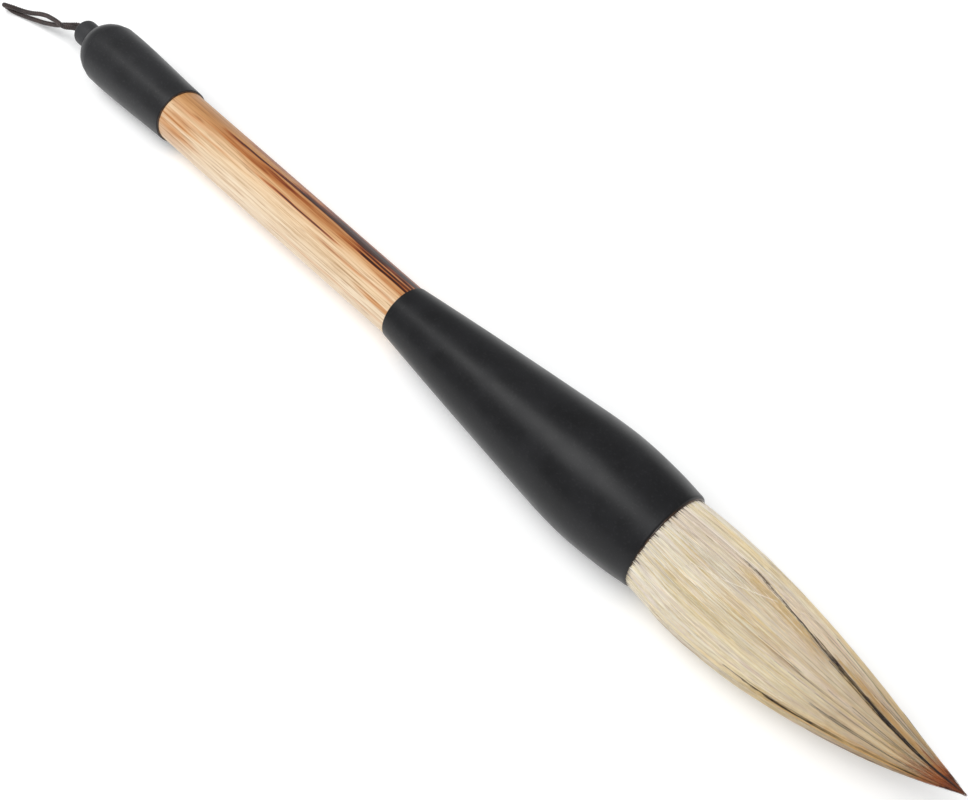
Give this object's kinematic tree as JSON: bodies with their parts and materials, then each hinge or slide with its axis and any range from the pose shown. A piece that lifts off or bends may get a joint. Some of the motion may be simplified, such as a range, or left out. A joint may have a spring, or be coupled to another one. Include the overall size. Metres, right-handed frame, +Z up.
{
  "type": "calligraphy brush",
  "caption": "Large hopper calligraphy brush: bamboo shaft, black domed end cap with a knob and hanging cord, black trumpet hair socket and a long pointed tuft of pale goat hair.",
  "frame": {"origin": "on the surface that the brush lies on, under the middle of the box around the brush without its cord", "axes": "+X along the brush towards the tuft's point, +Z up from the surface"},
  "size_m": [0.389, 0.033, 0.0331],
  "materials": {
    "black_horn": "satin black, polished horn or resin",
    "bamboo": "clear lacquered bamboo with dark scorch streaks",
    "peg_wood": "bare hardwood",
    "root_resin": "set amber resin",
    "binding_thread": "twisted flax thread, six turns drawn as rings",
    "mantle_hair": "sleek ivory goat hair with single dark hairs",
    "inner_hair": "packed goat hair",
    "waxed_cord": "waxed dark brown cord"
  },
  "bodies": {
    "handle": {"cap_knob": "black_horn", "end_cap": "black_horn", "bamboo_shaft": "bamboo", "joining_peg": "peg_wood", "hair_socket": "black_horn", "root_resin": "root_resin", "binding_thread": "binding_thread", "core_hair_root": "inner_hair", "belly_hair_root": "inner_hair", "mantle_hair_root": "mantle_hair"},
    "tuft_front": {"core_hair_point": "inner_hair", "belly_hair_point": "inner_hair", "mantle_hair_point": "mantle_hair"},
    "cord_knot": {"loop_knot": "waxed_cord", "cord_tails": "waxed_cord"},
    "loop": {"hanging_loop": "waxed_cord"}
  },
  "joints": [
    {"name": "tuft_bend", "type": "hinge", "parent": "handle", "child": "tuft_front", "pos_m": [0.115, 0, 0.01789], "axis": [-0.0271, 0, 0.9996], "range_deg": [-40, 40], "stiffness_Nm_per_rad": 0.05},
    {"name": "loop_swivel", "type": "hinge", "parent": "handle", "child": "cord_knot", "pos_m": [-0.17489, 0, 0.01001], "axis": [0.9996, 0, 0.0271], "range_deg": [-180, 180]},
    {"name": "loop_swing", "type": "hinge", "parent": "cord_knot", "child": "loop", "pos_m": [-0.17679, 0, 0.00996], "axis": [0, 1, 0], "range_deg": [0, 90]}
  ]
}
